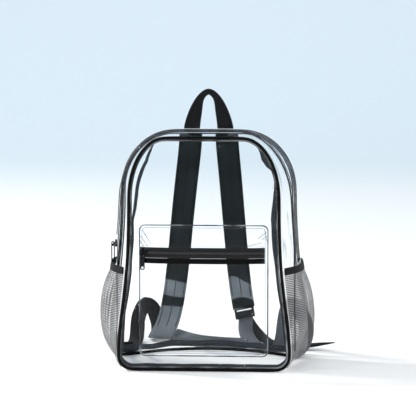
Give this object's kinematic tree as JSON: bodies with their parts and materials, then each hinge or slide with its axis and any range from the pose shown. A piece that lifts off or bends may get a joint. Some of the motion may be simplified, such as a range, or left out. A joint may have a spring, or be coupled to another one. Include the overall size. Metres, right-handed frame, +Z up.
{
  "type": "clear backpack",
  "caption": "Arched clear film backpack with black piping, zip front pocket, mesh side pockets, webbing handle and slack shoulder straps.",
  "frame": {"origin": "on the floor, in the middle of the flat base", "axes": "+X to the right of someone who faces the front pocket, -Y out of the front, +Y to the wearer's back, +Z up"},
  "size_m": [0.3901, 0.3528, 0.4523],
  "materials": {
    "clear_film": "clear, glossy",
    "black_piping": "glossy",
    "black_tape": "woven tape",
    "black_webbing": "woven webbing",
    "black_mesh": "fine open mesh",
    "black_elastic": "ribbed elastic",
    "black_metal": "gloss black paint",
    "black_plastic": "moulded, semi-gloss"
  },
  "bodies": {
    "bag": {"front_panel": "clear_film", "back_panel": "clear_film", "zip_gusset_front": "clear_film", "zip_gusset_rear": "clear_film", "base_gusset": "clear_film", "pocket_panel": "clear_film", "pocket_top_strip": "clear_film", "front_piping": "black_piping", "back_piping": "black_piping", "front_seam_binding": "black_tape", "back_seam_binding": "black_tape", "side_seam_binding_left": "black_tape", "side_seam_binding_right": "black_tape", "main_zip_tape": "black_tape", "pocket_zip_tape": "black_tape", "pocket_zip_lip": "black_tape", "main_zip_coil": "black_plastic", "pocket_zip_coil": "black_plastic", "main_zip_slider": "black_metal", "pocket_zip_slider": "black_metal", "mesh_pocket_left": "black_mesh", "mesh_pocket_right": "black_mesh", "pocket_elastic_left": "black_elastic", "pocket_elastic_right": "black_elastic", "handle": "black_webbing", "shoulder_strap_left": "black_webbing", "shoulder_strap_right": "black_webbing", "adjuster_left": "black_plastic", "adjuster_right": "black_plastic", "lower_webbing_left": "black_webbing", "lower_webbing_right": "black_webbing", "strap_tail_left": "black_webbing", "strap_tail_right": "black_webbing"},
    "main_pull": {"main_zip_pull": "black_metal"},
    "pocket_pull": {"pocket_zip_pull": "black_metal"}
  },
  "joints": [
    {"name": "main_pull_hinge", "type": "hinge", "parent": "bag", "child": "main_pull", "pos_m": [-0.1525, -0.0152, 0.203], "axis": [-0.1555, 0.9878, 0], "range_deg": [0, 165]},
    {"name": "pocket_pull_hinge", "type": "hinge", "parent": "bag", "child": "pocket_pull", "pos_m": [-0.09896, -0.07901, 0.1955], "axis": [-0.9718, 0.2358, 0], "range_deg": [0, 165]}
  ]
}
